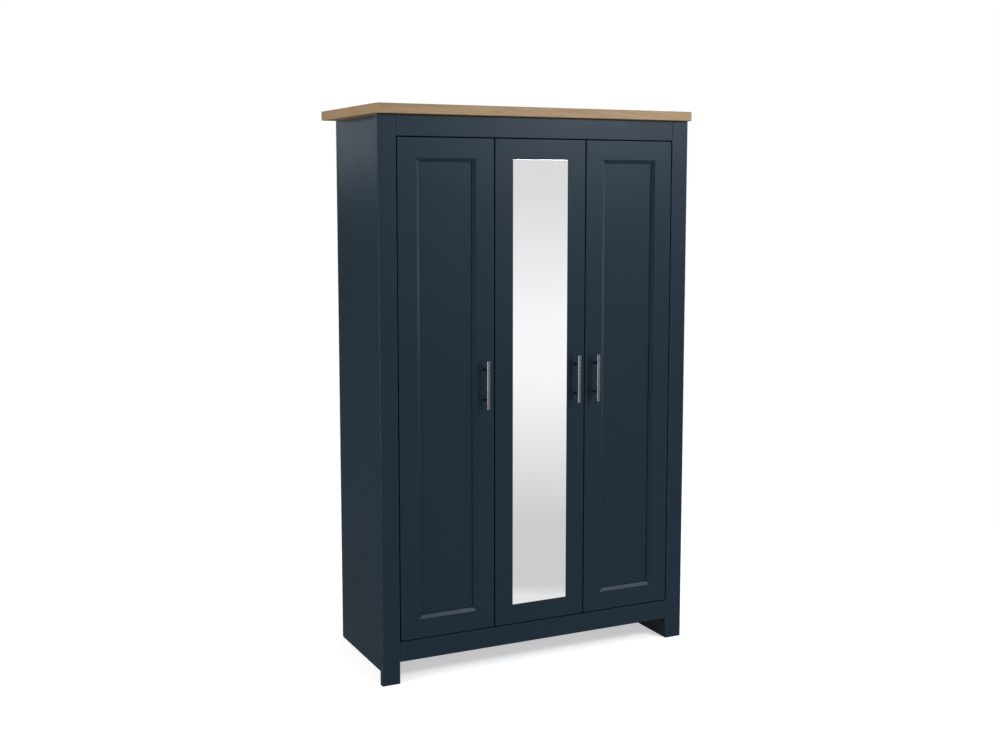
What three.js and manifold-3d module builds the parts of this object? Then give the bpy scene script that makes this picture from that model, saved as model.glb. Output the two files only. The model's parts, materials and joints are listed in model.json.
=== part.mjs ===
// Three-door wardrobe: millimetres, +Z up, the doors face -Y, the floor is Z = 0.
import * as THREE from 'three';
import { mergeVertices } from 'three/addons/utils/BufferGeometryUtils.js';
import Module from 'manifold-3d';

const wasm = await Module();
wasm.setup();
const { Manifold, Mesh } = wasm;

// Overall sizes of the cabinet; the pulls stand out in front of the top slab.
const overallWidth = 1119;
const overallHeight = 1800;
const overallDepth = 520;

// Clearance between glued or screwed faces.
const seam = 0.25;

// Top slab.
const slabThickness = 30;
const slabSideOverhang = 8;
const slabFrontOverhang = 20;
const slabCornerCut = 10;

// Front frame: two posts that reach the floor and two rails between them.
const postWidth = 60;
const frameThickness = 20;
const topRailHeight = 65;
const plinthFloorGap = 71;
const plinthHeight = 63;

// Panels of the box behind the frame.
const panelThickness = 18;
const backPanelThickness = 4;
const backPanelInset = 4;
const doorStopClearance = 8.5;
const doorStopLap = 14;
const battenDepth = 18;

// Inside fittings.
const shelfThickness = 18;
const shelfFrontSetback = 20;
const leftShelfHeights = [540, 980, 1400];
const hatShelfSpace = 270;
const hangingRailRadius = 12.5;
const hangingRailDrop = 60;

// Doors: frames mitred at the corners around a grooved-in centre panel.
const doorCount = 3;
const doorGap = 3.5;
const doorThickness = 20;
const memberFlatWidth = 62;
const panelEdge = { width: 11, depth: 6.5, recess: 9.5 };
const mirrorEdge = { width: 1, depth: 1, recess: 6 };
const edgeRound = 2;
const grooveWidth = 6.5;
const grooveDepth = 8;
const centrePanelThickness = 6;
const mirrorThickness = 4;
const mirrorSideClearance = 0.5;

// Pulls: a bar on two round feet.
const pullBarRadius = 5.5;
const pullBarLength = 156;
const pullFootRadius = 4;
const pullFootSpacing = 96;
const pullProjection = 35;
const pullEdgeDistance = 33.75;
const pullRise = 12.5;

// Hinges: a cup in the door and a bent arm that pivots on the cup's pin.
const hingeEndDistance = 110;
const cupRadius = 17.25;
const cupWall = 1;
const cupDepth = 13.5;
const cupEdgeDistance = 22;
const cupBoreClearance = 0.25;
const cupFlangeThickness = 1.5;
const cupFlangeWidth = 18;
const cupFlangeLength = 60;
const pinRadius = 1.5;
const pinRunningGap = 0.1;
const pinEdgeDistance = 14;
const knuckleRadius = 3;
const knuckleFloorGap = 0.1;
const armThickness = 1.6;
const armWidth = 14;
const armBendInnerRadius = 17.3;
const armBodyThickness = 7.5;
const armBodyBack = 65;
const plateThickness = 1.75;
const plateStart = 25;
const plateEnd = 60;
const plateHeight = 50;

// Flat steps around each round surface.
const railSteps = 24;
const pullBarSteps = 24;
const pullFootSteps = 20;
const cupSteps = 28;
const pinSteps = 16;
const armBoreSteps = 12;
const edgeRoundSteps = 3;
const knuckleSteps = 14;
const bendSteps = 10;

// A cut runs this far past the face that it opens.
const cutOvershoot = 1;

// The arm's body starts this far behind the top of its bend.
const bendToBody = 0.1;

// Points closer than this are one point.
const mergeDistance = 1e-4;

// Places that follow from the sizes above.
const pullStandout = Math.max(0, pullProjection - slabFrontOverhang);
const slabFront = -(overallDepth + pullStandout) / 2 + pullStandout;
const slabBack = slabFront + overallDepth;
const frontY = slabFront + slabFrontOverhang;
const slabUnderside = overallHeight - slabThickness;
const frameHalfWidth = overallWidth / 2 - slabSideOverhang;
const openingHalfWidth = frameHalfWidth - postWidth;
const openingBottom = plinthFloorGap + plinthHeight;
const openingTop = slabUnderside - topRailHeight;
const doorWidth = (2 * openingHalfWidth - (doorCount + 1) * doorGap) / doorCount;
const doorBottom = openingBottom + doorGap;
const doorTop = openingTop - doorGap;
const doorMiddleHeight = (doorBottom + doorTop) / 2;
const pullHeight = doorMiddleHeight + pullRise;
const doorPitch = doorWidth + doorGap;
const firstDoorLeft = -openingHalfWidth + doorGap;
const doorLefts = Array.from({ length: doorCount }, (_, index) => firstDoorLeft + index * doorPitch);
const insideFront = frontY + doorThickness + doorStopClearance;
const backPanelBack = slabBack - backPanelInset;
const backPanelFront = backPanelBack - backPanelThickness;
const partitionRight = doorLefts[1] - doorGap;
const partitionLeft = partitionRight - panelThickness;
const baseTop = openingBottom + doorStopLap;
const baseBottom = baseTop - panelThickness;
const battenBottom = openingTop - doorStopLap;
const shelfFront = insideFront + shelfFrontSetback;
const hatShelfHeight = slabUnderside - hatShelfSpace;
const hingeHeights = [
  doorBottom + hingeEndDistance,
  doorMiddleHeight,
  doorTop - hingeEndDistance,
];
const cupFloor = doorThickness - cupDepth;
const pinBehindFront = cupFloor + cupWall + knuckleRadius + knuckleFloorGap;

const group = new THREE.Group();
group.name = 'wardrobe';

const finishes = {
  frontPaint: { color: 0x33404f, roughness: 0.42, metalness: 0.0 },
  bodyPaint: { color: 0x3a4452, roughness: 0.48, metalness: 0.0 },
  insidePaint: { color: 0x39424e, roughness: 0.6, metalness: 0.0 },
  oak: { color: 0xaa9170, roughness: 0.55, metalness: 0.0 },
  mirror: { color: 0xdfe3e6, roughness: 0.03, metalness: 1.0 },
  nickel: { color: 0x8b878a, roughness: 0.32, metalness: 1.0 },
  zincSteel: { color: 0xb4b6b8, roughness: 0.35, metalness: 1.0 },
  backBoard: { color: 0x4a4f57, roughness: 0.75, metalness: 0.0 },
};

// Adds one body to the wardrobe with a material of its own.
function addPiece(name, geometry, finishName) {
  const material = new THREE.MeshStandardMaterial(finishes[finishName]);
  material.name = finishName;
  const mesh = new THREE.Mesh(geometry, material);
  mesh.name = name;
  group.add(mesh);
}

function boxBetween(low, high) {
  const geometry = new THREE.BoxGeometry(high[0] - low[0], high[1] - low[1], high[2] - low[2]);
  geometry.translate((low[0] + high[0]) / 2, (low[1] + high[1]) / 2, (low[2] + high[2]) / 2);
  return geometry;
}

// A cylinder around X, Y or Z, centred on a point.
function roundBar(radius, length, axis, centre, segments) {
  const geometry = new THREE.CylinderGeometry(radius, radius, length, segments);
  if (axis === 'x') {
    geometry.rotateZ(Math.PI / 2);
  }
  if (axis === 'z') {
    geometry.rotateX(Math.PI / 2);
  }
  geometry.translate(centre[0], centre[1], centre[2]);
  return geometry;
}

function toSolid(geometry) {
  const bare = geometry.clone();
  bare.deleteAttribute('normal');
  bare.deleteAttribute('uv');
  const merged = mergeVertices(bare, mergeDistance);
  const vertProperties = new Float32Array(merged.attributes.position.array);
  const triVerts = new Uint32Array(merged.index.array);
  return new Manifold(new Mesh({ numProp: 3, vertProperties, triVerts }));
}

function toGeometry(solid) {
  const mesh = solid.getMesh();
  const geometry = new THREE.BufferGeometry();
  geometry.setAttribute('position', new THREE.BufferAttribute(mesh.vertProperties, 3));
  geometry.setIndex(new THREE.BufferAttribute(mesh.triVerts, 1));
  geometry.computeVertexNormals();
  return geometry;
}

// Moves a geometry into place; a mirroring matrix also turns the triangles round.
function placed(geometry, matrix) {
  const result = geometry.index ? geometry.toNonIndexed() : geometry.clone();
  result.applyMatrix4(matrix);
  if (matrix.determinant() < 0) {
    const positions = result.attributes.position;
    for (let index = 0; index < positions.count; index += 3) {
      const second = new THREE.Vector3().fromBufferAttribute(positions, index + 1);
      const third = new THREE.Vector3().fromBufferAttribute(positions, index + 2);
      positions.setXYZ(index + 1, third.x, third.y, third.z);
      positions.setXYZ(index + 2, second.x, second.y, second.z);
    }
  }
  result.deleteAttribute('uv');
  result.computeVertexNormals();
  return result;
}

function placementMatrix(xAxis, yAxis, zAxis, origin) {
  const matrix = new THREE.Matrix4();
  matrix.makeBasis(
    new THREE.Vector3(...xAxis),
    new THREE.Vector3(...yAxis),
    new THREE.Vector3(...zAxis),
  );
  matrix.setPosition(...origin);
  return matrix;
}

// Top slab with its two front corners cut at 45 degrees.
function addTopPanel() {
  const halfWidth = overallWidth / 2;
  const outline = new THREE.Shape();
  outline.moveTo(-halfWidth, slabBack);
  outline.lineTo(-halfWidth, slabFront + slabCornerCut);
  outline.lineTo(-halfWidth + slabCornerCut, slabFront);
  outline.lineTo(halfWidth - slabCornerCut, slabFront);
  outline.lineTo(halfWidth, slabFront + slabCornerCut);
  outline.lineTo(halfWidth, slabBack);
  outline.closePath();
  const geometry = new THREE.ExtrudeGeometry(outline, {
    depth: slabThickness - seam,
    bevelEnabled: false,
  });
  geometry.translate(0, 0, slabUnderside + seam);
  addPiece('top_panel', geometry, 'oak');
}

function addFrontFrame() {
  const backY = frontY + frameThickness;
  for (const [side, sign] of [['left', -1], ['right', 1]]) {
    const edges = [sign * frameHalfWidth, sign * openingHalfWidth].sort((a, b) => a - b);
    addPiece(
      `front_post_${side}`,
      boxBetween([edges[0], frontY, 0], [edges[1], backY, slabUnderside]),
      'frontPaint',
    );
  }
  const railEnd = openingHalfWidth - seam;
  addPiece(
    'top_rail',
    boxBetween([-railEnd, frontY, openingTop], [railEnd, backY, slabUnderside]),
    'frontPaint',
  );
  addPiece(
    'plinth_rail',
    boxBetween([-railEnd, frontY, plinthFloorGap], [railEnd, backY, openingBottom]),
    'frontPaint',
  );
}

// Side panels stand on the floor, level with the inner edges of the posts.
function addSidePanels() {
  const panelFront = frontY + frameThickness + seam;
  for (const [side, sign] of [['left', -1], ['right', 1]]) {
    const edges = [sign * openingHalfWidth, sign * (openingHalfWidth + panelThickness)];
    edges.sort((a, b) => a - b);
    addPiece(
      `side_panel_${side}`,
      boxBetween([edges[0], panelFront, 0], [edges[1], slabBack, slabUnderside]),
      'bodyPaint',
    );
  }
}

// The partition is notched at its top front corner for the batten.
function addPartition() {
  const notchBack = insideFront + battenDepth + seam;
  const outline = new THREE.Shape();
  outline.moveTo(insideFront, baseTop + seam);
  outline.lineTo(backPanelFront - seam, baseTop + seam);
  outline.lineTo(backPanelFront - seam, slabUnderside);
  outline.lineTo(notchBack, slabUnderside);
  outline.lineTo(notchBack, battenBottom - seam);
  outline.lineTo(insideFront, battenBottom - seam);
  outline.closePath();
  const extruded = new THREE.ExtrudeGeometry(outline, { depth: panelThickness, bevelEnabled: false });
  const matrix = placementMatrix([0, 1, 0], [0, 0, 1], [1, 0, 0], [partitionLeft, 0, 0]);
  addPiece('partition_panel', placed(extruded, matrix), 'insidePaint');
}

function addInnerBox() {
  const insideEnd = openingHalfWidth - seam;
  addPiece(
    'base_panel',
    boxBetween([-insideEnd, insideFront, baseBottom], [insideEnd, backPanelFront - seam, baseTop]),
    'insidePaint',
  );
  const battenBack = insideFront + battenDepth;
  addPiece(
    'door_stop_batten',
    boxBetween([-insideEnd, insideFront, battenBottom], [insideEnd, battenBack, slabUnderside]),
    'insidePaint',
  );
  const backJoint = (partitionLeft + partitionRight) / 2;
  addPiece(
    'back_panel_left',
    boxBetween([-insideEnd, backPanelFront, baseBottom], [backJoint - seam, backPanelBack, slabUnderside]),
    'backBoard',
  );
  addPiece(
    'back_panel_right',
    boxBetween([backJoint, backPanelFront, baseBottom], [insideEnd, backPanelBack, slabUnderside]),
    'backBoard',
  );
}

// A shelf between two inside faces; the height is that of its top face.
function shelfGeometry(leftX, rightX, topHeight) {
  return boxBetween(
    [leftX + seam, shelfFront, topHeight - shelfThickness],
    [rightX - seam, backPanelFront - seam, topHeight],
  );
}

function addFittings() {
  leftShelfHeights.forEach((height, index) => {
    const geometry = shelfGeometry(-openingHalfWidth, partitionLeft, height);
    addPiece(`shelf_left_${index + 1}`, geometry, 'insidePaint');
  });
  const hatShelf = shelfGeometry(partitionRight, openingHalfWidth, hatShelfHeight);
  addPiece('hat_shelf', hatShelf, 'insidePaint');
  const railLength = openingHalfWidth - partitionRight - 2 * seam;
  const railCentre = [
    (openingHalfWidth + partitionRight) / 2,
    (insideFront + backPanelFront) / 2,
    hatShelfHeight - shelfThickness - hangingRailDrop,
  ];
  const rail = roundBar(hangingRailRadius, railLength, 'x', railCentre, railSteps);
  addPiece('hanging_rail', rail, 'zincSteel');
}

function memberWidth(innerEdge) {
  return memberFlatWidth + innerEdge.width;
}

// Cross-section of a door member: x runs inward from the outer edge, y runs back from the face.
function memberProfile(innerEdge) {
  const outline = new THREE.Shape();
  const width = memberWidth(innerEdge);
  const grooveFloor = width - grooveDepth;
  const grooveBack = innerEdge.recess + grooveWidth;
  outline.moveTo(0, doorThickness);
  outline.lineTo(0, edgeRound);
  for (let step = 1; step <= edgeRoundSteps; step += 1) {
    const angle = (Math.PI / 2) * (step / edgeRoundSteps);
    outline.lineTo(edgeRound - edgeRound * Math.cos(angle), edgeRound - edgeRound * Math.sin(angle));
  }
  outline.lineTo(memberFlatWidth, 0);
  outline.lineTo(width, innerEdge.depth);
  outline.lineTo(width, innerEdge.recess);
  outline.lineTo(grooveFloor, innerEdge.recess);
  outline.lineTo(grooveFloor, grooveBack);
  outline.lineTo(width, grooveBack);
  outline.lineTo(width, doorThickness);
  outline.closePath();
  return outline;
}

// A door member with both ends cut at 45 degrees, along local Z from 0.
function mitredMember(length, innerEdge) {
  const profile = memberProfile(innerEdge);
  const geometry = new THREE.ExtrudeGeometry(profile, { depth: length, bevelEnabled: false });
  const positions = geometry.attributes.position;
  for (let index = 0; index < positions.count; index += 1) {
    const inward = positions.getX(index);
    const along = positions.getZ(index);
    const shifted = along < length / 2 ? along + inward + seam : along - inward - seam;
    positions.setZ(index, shifted);
  }
  return geometry;
}

// Cuts the three cup bores into the back of a hinge stile given in hinge coordinates.
function withCupBores(stile, edgeX, intoDoor) {
  let solid = toSolid(stile);
  for (const height of hingeHeights) {
    const centreX = edgeX + intoDoor * cupEdgeDistance;
    const boreFloor = frontY + cupFloor - cupBoreClearance;
    const boreEnd = frontY + doorThickness + cutOvershoot;
    const centre = [centreX, (boreFloor + boreEnd) / 2, height];
    const bore = roundBar(cupRadius + cupBoreClearance, boreEnd - boreFloor, 'y', centre, cupSteps);
    solid = solid.subtract(toSolid(bore));
  }
  return toGeometry(solid);
}

function addDoorFrame(side, leftX, hingeSide, innerEdge) {
  const rightX = leftX + doorWidth;
  const doorHeight = doorTop - doorBottom;
  const leftMatrix = placementMatrix([1, 0, 0], [0, 1, 0], [0, 0, 1], [leftX, frontY, doorBottom]);
  const rightMatrix = placementMatrix([-1, 0, 0], [0, 1, 0], [0, 0, 1], [rightX, frontY, doorBottom]);
  let leftStile = placed(mitredMember(doorHeight, innerEdge), leftMatrix);
  let rightStile = placed(mitredMember(doorHeight, innerEdge), rightMatrix);
  if (hingeSide === 'left') {
    leftStile = withCupBores(leftStile, leftX, 1);
  } else {
    rightStile = withCupBores(rightStile, rightX, -1);
  }
  const topMatrix = placementMatrix([0, 0, -1], [0, 1, 0], [1, 0, 0], [leftX, frontY, doorTop]);
  const bottomMatrix = placementMatrix([0, 0, 1], [0, 1, 0], [1, 0, 0], [leftX, frontY, doorBottom]);
  const rail = mitredMember(doorWidth, innerEdge);
  addPiece(`door_${side}_stile_left`, leftStile, 'frontPaint');
  addPiece(`door_${side}_stile_right`, rightStile, 'frontPaint');
  addPiece(`door_${side}_rail_top`, placed(rail, topMatrix), 'frontPaint');
  addPiece(`door_${side}_rail_bottom`, placed(rail, bottomMatrix), 'frontPaint');
}

// The centre panel reaches into the grooves with the seam left free on every side.
function addCentrePanel(name, leftX, innerEdge) {
  const reach = memberWidth(innerEdge) - grooveDepth + seam;
  const panelFront = frontY + innerEdge.recess + seam;
  const geometry = boxBetween(
    [leftX + reach, panelFront, doorBottom + reach],
    [leftX + doorWidth - reach, panelFront + centrePanelThickness, doorTop - reach],
  );
  addPiece(name, geometry, 'frontPaint');
}

// Mirror glass glued to the front of the middle door's backing panel.
function addMirror(leftX) {
  const inset = memberWidth(mirrorEdge) + mirrorSideClearance;
  const glassBack = frontY + mirrorEdge.recess;
  const geometry = boxBetween(
    [leftX + inset, glassBack - mirrorThickness, doorBottom + inset],
    [leftX + doorWidth - inset, glassBack, doorTop - inset],
  );
  addPiece('mirror_glass', geometry, 'mirror');
}

function addPull(side, centreX) {
  const barY = frontY - pullProjection + pullBarRadius;
  const barCentre = [centreX, barY, pullHeight];
  const bar = roundBar(pullBarRadius, pullBarLength, 'z', barCentre, pullBarSteps);
  addPiece(`pull_${side}_bar`, bar, 'nickel');
  const saddle = toSolid(roundBar(pullBarRadius + seam, pullBarLength, 'z', barCentre, pullBarSteps));
  for (const [place, sign] of [['lower', -1], ['upper', 1]]) {
    const footHeight = pullHeight + sign * (pullFootSpacing / 2);
    const footEnd = frontY - seam;
    const footCentre = [centreX, (barY + footEnd) / 2, footHeight];
    const foot = toSolid(roundBar(pullFootRadius, footEnd - barY, 'y', footCentre, pullFootSteps));
    addPiece(`pull_${side}_foot_${place}`, toGeometry(foot.subtract(saddle)), 'nickel');
  }
}

// Hinge coordinates: x runs into the door from its hinge edge, y runs back from the door's face.
function cupGeometry() {
  const flangeFront = doorThickness + seam;
  const flangeBack = flangeFront + cupFlangeThickness;
  const tubeCentre = [cupEdgeDistance, (cupFloor + flangeBack) / 2, 0];
  const tube = toSolid(roundBar(cupRadius, flangeBack - cupFloor, 'y', tubeCentre, cupSteps));
  const flange = toSolid(boxBetween(
    [cupEdgeDistance - cupFlangeWidth / 2, flangeFront, -cupFlangeLength / 2],
    [cupEdgeDistance + cupFlangeWidth / 2, flangeBack, cupFlangeLength / 2],
  ));
  const hollowStart = cupFloor + cupWall;
  const hollowEnd = flangeBack + cutOvershoot;
  const hollowCentre = [cupEdgeDistance, (hollowStart + hollowEnd) / 2, 0];
  const hollowLength = hollowEnd - hollowStart;
  const hollow = toSolid(roundBar(cupRadius - cupWall, hollowLength, 'y', hollowCentre, cupSteps));
  const pinOffset = cupEdgeDistance - pinEdgeDistance;
  const pinHalfLength = Math.sqrt(cupRadius ** 2 - (pinOffset + pinRadius) ** 2) - seam;
  const pinCentre = [pinEdgeDistance, pinBehindFront, 0];
  const pin = toSolid(roundBar(pinRadius, 2 * pinHalfLength, 'z', pinCentre, pinSteps));
  return toGeometry(tube.add(flange).subtract(hollow).add(pin));
}

// Outline of the bent arm around the pin, which is the origin here.
function armOutline() {
  const half = armThickness / 2;
  const bendOuterRadius = armBendInnerRadius + armThickness;
  const bodyLeft = -(pinEdgeDistance + doorGap - plateThickness);
  const bodyRight = bodyLeft + armBodyThickness;
  const outline = new THREE.Shape();
  const knuckleStart = Math.asin(half / knuckleRadius);
  for (let step = 0; step <= knuckleSteps; step += 1) {
    const angle = knuckleStart + (2 * Math.PI - 2 * knuckleStart) * (step / knuckleSteps);
    const point = [knuckleRadius * Math.cos(angle), knuckleRadius * Math.sin(angle)];
    if (step === 0) {
      outline.moveTo(point[0], point[1]);
    } else {
      outline.lineTo(point[0], point[1]);
    }
  }
  const outerStart = -Math.asin(half / bendOuterRadius);
  for (let step = 0; step <= bendSteps; step += 1) {
    const angle = outerStart + (Math.PI / 2 - outerStart) * (step / bendSteps);
    outline.lineTo(bendOuterRadius * Math.cos(angle), bendOuterRadius * Math.sin(angle));
  }
  outline.lineTo(bodyRight, bendOuterRadius);
  outline.lineTo(bodyRight, armBodyBack);
  outline.lineTo(bodyLeft, armBodyBack);
  outline.lineTo(bodyLeft, armBendInnerRadius + half);
  outline.lineTo(bodyRight, armBendInnerRadius + bendToBody);
  const innerStart = Math.asin(half / armBendInnerRadius);
  for (let step = 0; step <= bendSteps; step += 1) {
    const angle = Math.PI / 2 + (innerStart - Math.PI / 2) * (step / bendSteps);
    outline.lineTo(armBendInnerRadius * Math.cos(angle), armBendInnerRadius * Math.sin(angle));
  }
  outline.closePath();
  const bore = new THREE.Path();
  bore.absarc(0, 0, pinRadius + pinRunningGap, 0, 2 * Math.PI, true);
  outline.holes.push(bore);
  return outline;
}

function armGeometry() {
  const extruded = new THREE.ExtrudeGeometry(armOutline(), {
    depth: armWidth,
    bevelEnabled: false,
    curveSegments: armBoreSteps,
  });
  extruded.translate(pinEdgeDistance, pinBehindFront, -armWidth / 2);
  const plate = toSolid(boxBetween(
    [-doorGap + seam, pinBehindFront + plateStart, -plateHeight / 2],
    [-doorGap + plateThickness + seam, pinBehindFront + plateEnd, plateHeight / 2],
  ));
  return toGeometry(toSolid(extruded).add(plate));
}

function addHinges(side, leftX, hingeSide) {
  const edgeX = hingeSide === 'left' ? leftX : leftX + doorWidth;
  const intoDoor = hingeSide === 'left' ? 1 : -1;
  const cup = cupGeometry();
  const arm = armGeometry();
  hingeHeights.forEach((height, index) => {
    const origin = [edgeX, frontY, height];
    const matrix = placementMatrix([intoDoor, 0, 0], [0, 1, 0], [0, 0, 1], origin);
    addPiece(`hinge_${side}_cup_${index + 1}`, placed(cup, matrix), 'zincSteel');
    addPiece(`hinge_${side}_arm_${index + 1}`, placed(arm, matrix), 'zincSteel');
  });
}

function addDoor(side, index, hingeSide) {
  const leftX = doorLefts[index];
  const innerEdge = side === 'middle' ? mirrorEdge : panelEdge;
  addDoorFrame(side, leftX, hingeSide, innerEdge);
  addCentrePanel(side === 'middle' ? 'mirror_backing' : `door_${side}_panel`, leftX, innerEdge);
  if (side === 'middle') {
    addMirror(leftX);
  }
  const pullX = hingeSide === 'left' ? leftX + doorWidth - pullEdgeDistance : leftX + pullEdgeDistance;
  addPull(side, pullX);
  addHinges(side, leftX, hingeSide);
}

addTopPanel();
addFrontFrame();
addSidePanels();
addPartition();
addInnerBox();
addFittings();
addDoor('left', 0, 'left');
addDoor('middle', 1, 'left');
addDoor('right', 2, 'right');

export default group;
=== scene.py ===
import json
import math

import bpy
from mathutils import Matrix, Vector


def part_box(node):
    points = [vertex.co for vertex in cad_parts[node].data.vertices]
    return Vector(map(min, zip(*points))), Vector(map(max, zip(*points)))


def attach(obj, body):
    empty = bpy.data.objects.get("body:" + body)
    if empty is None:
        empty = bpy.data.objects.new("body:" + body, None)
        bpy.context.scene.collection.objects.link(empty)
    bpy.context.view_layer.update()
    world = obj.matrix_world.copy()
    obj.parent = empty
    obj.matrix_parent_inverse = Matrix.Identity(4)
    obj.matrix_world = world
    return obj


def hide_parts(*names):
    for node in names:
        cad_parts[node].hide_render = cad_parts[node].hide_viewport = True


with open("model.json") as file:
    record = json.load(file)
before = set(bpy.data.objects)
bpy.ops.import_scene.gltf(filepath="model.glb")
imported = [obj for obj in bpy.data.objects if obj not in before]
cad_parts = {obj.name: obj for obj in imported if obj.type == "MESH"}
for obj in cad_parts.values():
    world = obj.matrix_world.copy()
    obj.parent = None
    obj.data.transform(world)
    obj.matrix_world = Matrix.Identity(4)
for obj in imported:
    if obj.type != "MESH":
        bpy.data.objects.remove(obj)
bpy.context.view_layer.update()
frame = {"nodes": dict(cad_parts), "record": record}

print("frame loaded,", len(frame["nodes"]), "nodes")

doorSides = ("left", "middle", "right")
hingeEdge = {"left": "left", "middle": "left", "right": "right"}
tiny = 0.00001  # what still counts as the same place
hairGap = 0.0001  # between a small part and the face it sits on


def deselectAll():
    if bpy.context.object is not None and bpy.context.object.mode != "OBJECT":
        bpy.ops.object.mode_set(mode="OBJECT")
    bpy.ops.object.select_all(action="DESELECT")


def pickPiece(piece):
    deselectAll()
    piece.select_set(True)
    bpy.context.view_layer.objects.active = piece


def settle(piece):
    pickPiece(piece)
    bpy.ops.object.transform_apply(location=True, rotation=True, scale=True)


def pickFaces(piece, wanted):
    bpy.ops.object.mode_set(mode="EDIT")
    bpy.ops.mesh.select_mode(type="FACE")
    bpy.ops.mesh.select_all(action="DESELECT")
    bpy.ops.object.mode_set(mode="OBJECT")
    for face in piece.data.polygons:
        face.select = bool(wanted(face))
    bpy.ops.object.mode_set(mode="EDIT")


def pickEdges(piece, wanted):
    bpy.ops.object.mode_set(mode="EDIT")
    bpy.ops.mesh.select_mode(type="EDGE")
    bpy.ops.mesh.select_all(action="DESELECT")
    bpy.ops.object.mode_set(mode="OBJECT")
    points = piece.data.vertices
    for edge in piece.data.edges:
        first, second = (points[index].co for index in edge.vertices)
        edge.select = bool(wanted(first, second))
    bpy.ops.object.mode_set(mode="EDIT")


def leaveEdit():
    bpy.ops.object.mode_set(mode="OBJECT")


def finishModifier(piece, kind, **values):
    pickPiece(piece)
    modifier = piece.modifiers.new(kind.lower(), kind)
    for name, value in values.items():
        setattr(modifier, name, value)
    bpy.ops.object.modifier_apply(modifier=modifier.name)


def smoothPiece(piece, angle=40):
    pickPiece(piece)
    bpy.ops.object.shade_smooth_by_angle(angle=math.radians(angle))
    finishModifier(piece, "WEIGHTED_NORMAL", keep_sharp=True)


def paint(piece, material):
    piece.data.materials.clear()
    piece.data.materials.append(material)


def mount(piece, body, material):
    paint(piece, material)
    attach(piece, body)


def middleOf(node):
    low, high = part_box(node)
    return (low + high) / 2


def putNode(tree, kind, column, row, **settings):
    node = tree.nodes.new(kind)
    node.location = (column * 200, -row * 180)
    for name, value in settings.items():
        setattr(node, name, value)
    return node


def startGroup(name, inputs, outputs):
    tree = bpy.data.node_groups.new(name, "ShaderNodeTree")
    for label, start in inputs:
        socket = tree.interface.new_socket(name=label, in_out="INPUT", socket_type="NodeSocketFloat")
        socket.default_value = start
    for label in outputs:
        tree.interface.new_socket(name=label, in_out="OUTPUT", socket_type="NodeSocketFloat")
    entry = putNode(tree, "NodeGroupInput", -5, 0)
    leave = putNode(tree, "NodeGroupOutput", 6, 0)
    return tree, entry, leave


def mathNode(tree, operation, column, row, first, second=None, clamp=False):
    node = putNode(tree, "ShaderNodeMath", column, row, operation=operation, use_clamp=clamp)
    for index, value in enumerate((first, second)):
        if value is None:
            continue
        if isinstance(value, (int, float)):
            node.inputs[index].default_value = value
        else:
            tree.links.new(value, node.inputs[index])
    return node.outputs[0]


def noiseNode(tree, vector, column, row, scale, detail=3.0, roughness=0.55, distortion=0.0):
    node = putNode(tree, "ShaderNodeTexNoise", column, row)
    node.inputs["Scale"].default_value = scale
    node.inputs["Detail"].default_value = detail
    node.inputs["Roughness"].default_value = roughness
    node.inputs["Distortion"].default_value = distortion
    tree.links.new(vector, node.inputs["Vector"])
    return node.outputs["Fac"]


def spanNode(tree, value, column, row, low, high, newLow=0.0, newHigh=1.0):
    node = putNode(tree, "ShaderNodeMapRange", column, row)
    node.inputs["From Min"].default_value = low
    node.inputs["From Max"].default_value = high
    node.inputs["To Min"].default_value = newLow
    node.inputs["To Max"].default_value = newHigh
    tree.links.new(value, node.inputs["Value"])
    return node.outputs["Result"]


def stretchNode(tree, vector, column, row, scale, turn=(0, 0, 0)):
    node = putNode(tree, "ShaderNodeMapping", column, row)
    node.inputs["Scale"].default_value = scale
    node.inputs["Rotation"].default_value = turn
    tree.links.new(vector, node.inputs["Vector"])
    return node.outputs["Vector"]


wearAndSheenPattern = {
    "width": 0.0012,
    "bend": (0.01, 0.16),  # from an untouched to a worn arris
    "patchScale": 38.0,
    "patches": (0.42, 0.62),
    "leastWear": 0.15,
}


def makeEdgeWearAndSheen():  # 1 on a worn arris, 0 on the flat; on the navy foil this also places a painted highlight on the arris
    inputs = [("Width", wearAndSheenPattern["width"]), ("Amount", 1.0)]
    tree, entry, leave = startGroup("edgeWearAndSheen", inputs, ["Mask"])
    rounded = putNode(tree, "ShaderNodeBevel", -3, 0, samples=4)
    tree.links.new(entry.outputs["Width"], rounded.inputs["Radius"])
    surface = putNode(tree, "ShaderNodeNewGeometry", -3, 1)
    compare = putNode(tree, "ShaderNodeVectorMath", -2, 0, operation="DOT_PRODUCT")
    tree.links.new(rounded.outputs["Normal"], compare.inputs[0])
    tree.links.new(surface.outputs["Normal"], compare.inputs[1])
    bend = mathNode(tree, "SUBTRACT", -1, 0, 1.0, compare.outputs["Value"])
    low, high = wearAndSheenPattern["bend"]
    edge = spanNode(tree, bend, 0, 0, low, high)
    place = putNode(tree, "ShaderNodeTexCoord", -3, 2)
    patches = noiseNode(tree, place.outputs["Object"], -2, 2, wearAndSheenPattern["patchScale"], 5.0, 0.65)
    low, high = wearAndSheenPattern["patches"]
    broken = spanNode(tree, patches, -1, 2, low, high, wearAndSheenPattern["leastWear"], 1.0)
    worn = mathNode(tree, "MULTIPLY", 2, 0, edge, broken)
    mask = mathNode(tree, "MULTIPLY", 3, 0, worn, entry.outputs["Amount"], clamp=True)
    tree.links.new(mask, leave.inputs["Mask"])
    return tree


skinPattern = {
    "pebbleScale": 900.0,
    "pebbleShare": 0.35,  # of the height, beside the waves
    "waveScale": 14.0,
    "cloudScale": 3.2,
    "smearStretch": (1.0, 1.0, 0.35),
    "smearScale": 9.0,
    "smear": (0.45, 0.75),
}


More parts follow.
